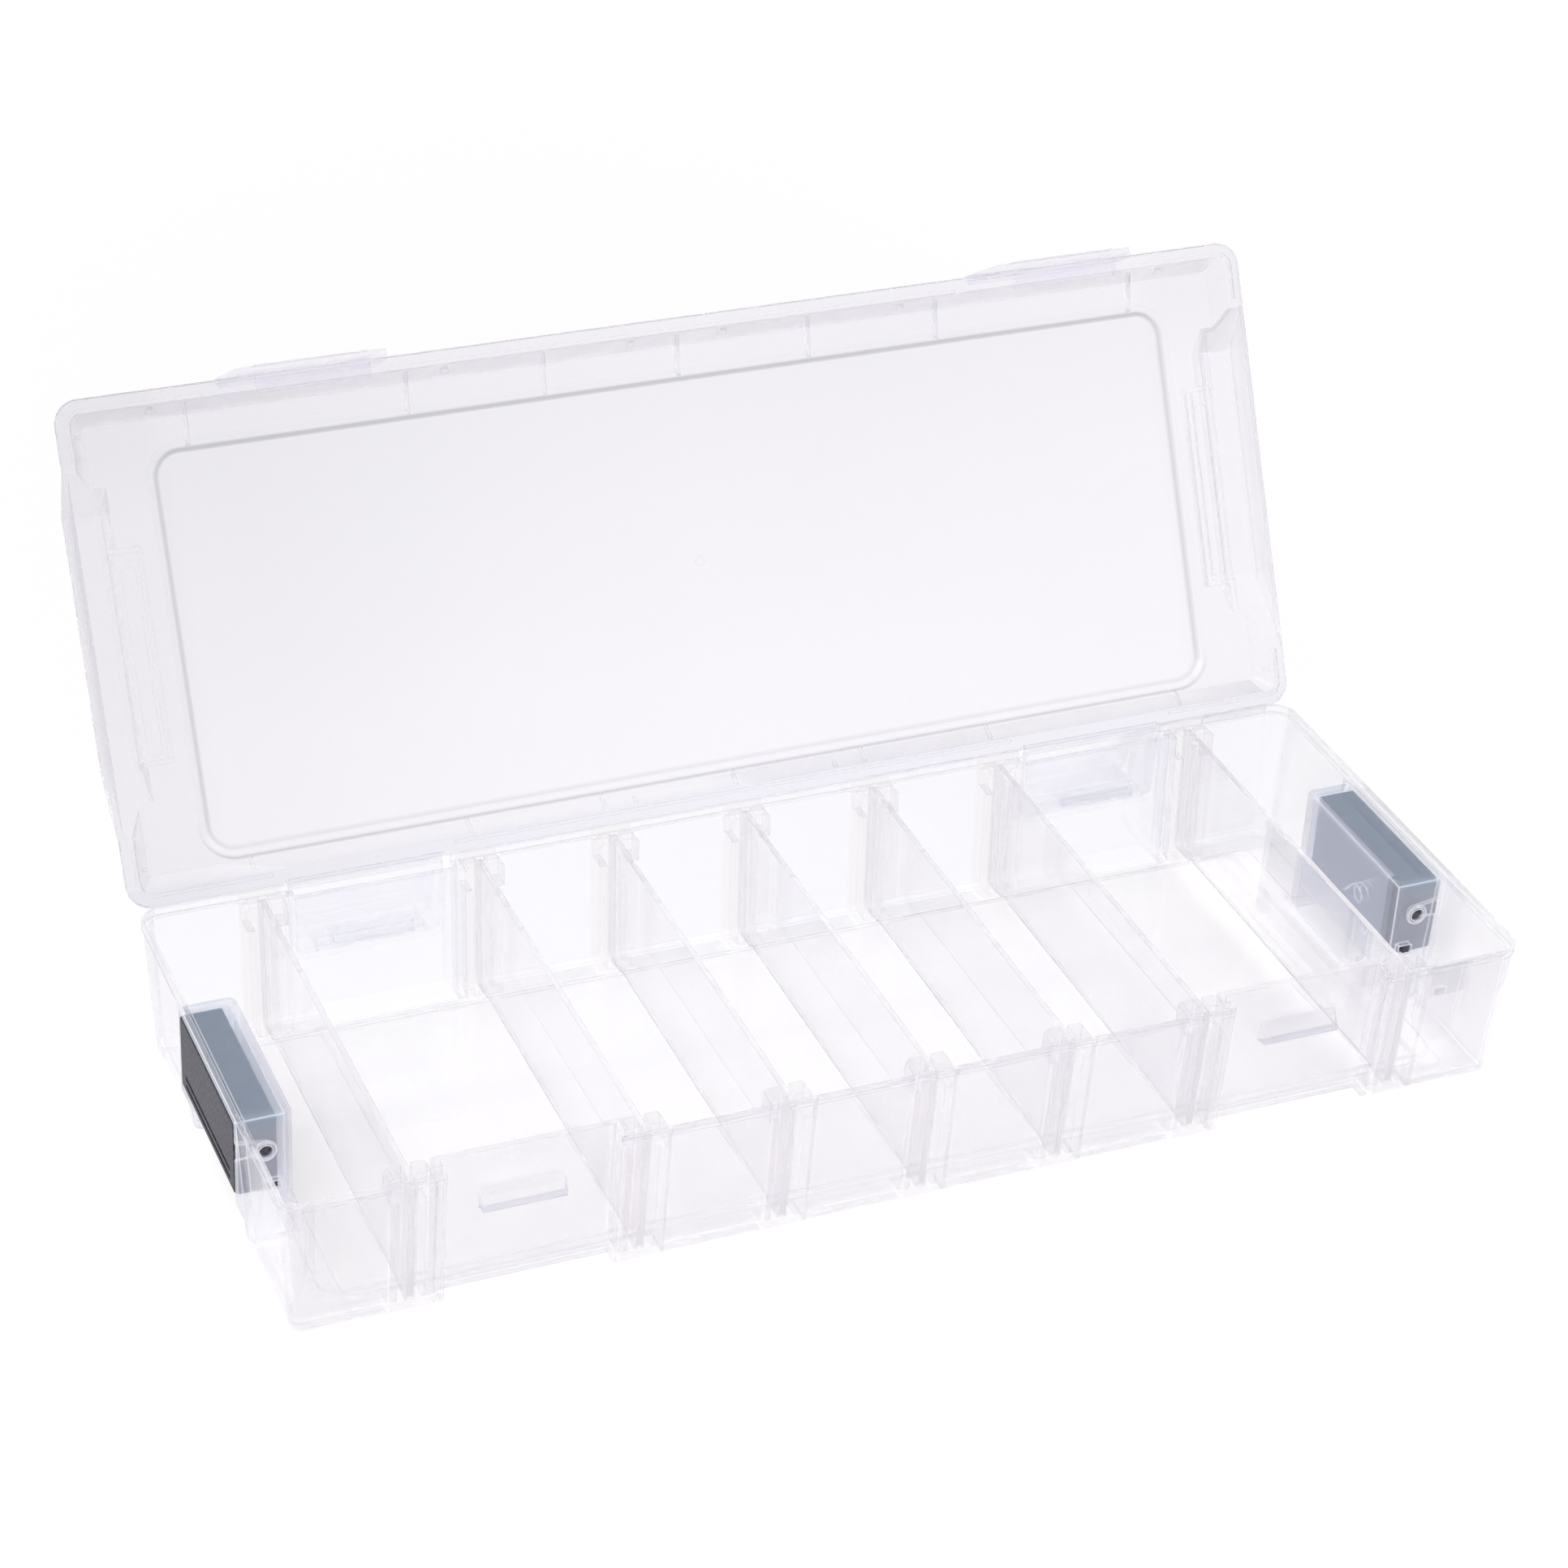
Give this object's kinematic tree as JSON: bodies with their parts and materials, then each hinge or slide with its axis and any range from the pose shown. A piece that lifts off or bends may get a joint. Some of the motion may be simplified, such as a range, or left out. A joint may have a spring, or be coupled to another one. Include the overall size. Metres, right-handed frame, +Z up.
{
  "type": "compartment case",
  "caption": "Long shallow clear case with loose cross dividers, a flip-up lid, snap clips and spring-loaded side latches.",
  "frame": {"origin": "centre of the tray's underside, on the plane it rests on", "axes": "+X along the length to the right end, +Y from the front with the clips to the hinge side, +Z up"},
  "size_m": [0.383, 0.2171, 0.1931],
  "materials": {
    "clear_plastic": "clear polypropylene, slightly milky",
    "latch_charcoal": "fine moulded texture",
    "spring_steel": "drawn wire"
  },
  "bodies": {
    "tray": {"base_tray": "clear_plastic", "rear_clip_left": "clear_plastic", "rear_clip_right": "clear_plastic", "latch_spring_left": "spring_steel", "latch_spring_right": "spring_steel"},
    "divider_1": {"divider_1": "clear_plastic"},
    "divider_2": {"divider_2": "clear_plastic"},
    "divider_3": {"divider_3": "clear_plastic"},
    "divider_4": {"divider_4": "clear_plastic"},
    "divider_5": {"divider_5": "clear_plastic"},
    "divider_6": {"divider_6": "clear_plastic"},
    "divider_7": {"divider_7": "clear_plastic"},
    "lid": {"lid": "clear_plastic"},
    "front_clip_left": {"front_clip_left": "clear_plastic"},
    "side_latch_left": {"side_latch_left": "latch_charcoal"},
    "front_clip_right": {"front_clip_right": "clear_plastic"},
    "side_latch_right": {"side_latch_right": "latch_charcoal"}
  },
  "joints": [
    {"name": "lid_hinge", "type": "hinge", "parent": "tray", "child": "lid", "pos_m": [0, 0.074, 0.047], "axis": [-1, 0, 0], "range_deg": [-117, 0]},
    {"name": "front_clip_left_fold", "type": "hinge", "parent": "lid", "child": "front_clip_left", "pos_m": [-0.12, 0.14119, 0.17887], "axis": [-1, 0, 0], "range_deg": [-5.5, 75], "stiffness_Nm_per_rad": 0.06},
    {"name": "side_latch_left_tilt", "type": "hinge", "parent": "tray", "child": "side_latch_left", "pos_m": [-0.1815, 0, 0.032], "axis": [0, -1, 0], "range_deg": [0, 6], "stiffness_Nm_per_rad": 0.05, "springref_deg": -17.19, "deforming": ["latch_spring_left"]},
    {"name": "front_clip_right_fold", "type": "hinge", "parent": "lid", "child": "front_clip_right", "pos_m": [0.12, 0.14119, 0.17887], "axis": [-1, 0, 0], "range_deg": [-5.5, 75], "stiffness_Nm_per_rad": 0.06},
    {"name": "side_latch_right_tilt", "type": "hinge", "parent": "tray", "child": "side_latch_right", "pos_m": [0.1815, 0, 0.032], "axis": [0, 1, 0], "range_deg": [0, 6], "stiffness_Nm_per_rad": 0.05, "springref_deg": -17.19, "deforming": ["latch_spring_right"]},
    {"name": "divider_1_lift", "type": "slide", "parent": "tray", "child": "divider_1", "axis": [0, 0, 1], "range_m": [0, 0.05]},
    {"name": "divider_2_lift", "type": "slide", "parent": "tray", "child": "divider_2", "axis": [0, 0, 1], "range_m": [0, 0.05]},
    {"name": "divider_3_lift", "type": "slide", "parent": "tray", "child": "divider_3", "axis": [0, 0, 1], "range_m": [0, 0.05]},
    {"name": "divider_4_lift", "type": "slide", "parent": "tray", "child": "divider_4", "axis": [0, 0, 1], "range_m": [0, 0.05]},
    {"name": "divider_5_lift", "type": "slide", "parent": "tray", "child": "divider_5", "axis": [0, 0, 1], "range_m": [0, 0.05]},
    {"name": "divider_6_lift", "type": "slide", "parent": "tray", "child": "divider_6", "axis": [0, 0, 1], "range_m": [0, 0.05]},
    {"name": "divider_7_lift", "type": "slide", "parent": "tray", "child": "divider_7", "axis": [0, 0, 1], "range_m": [0, 0.05]}
  ]
}
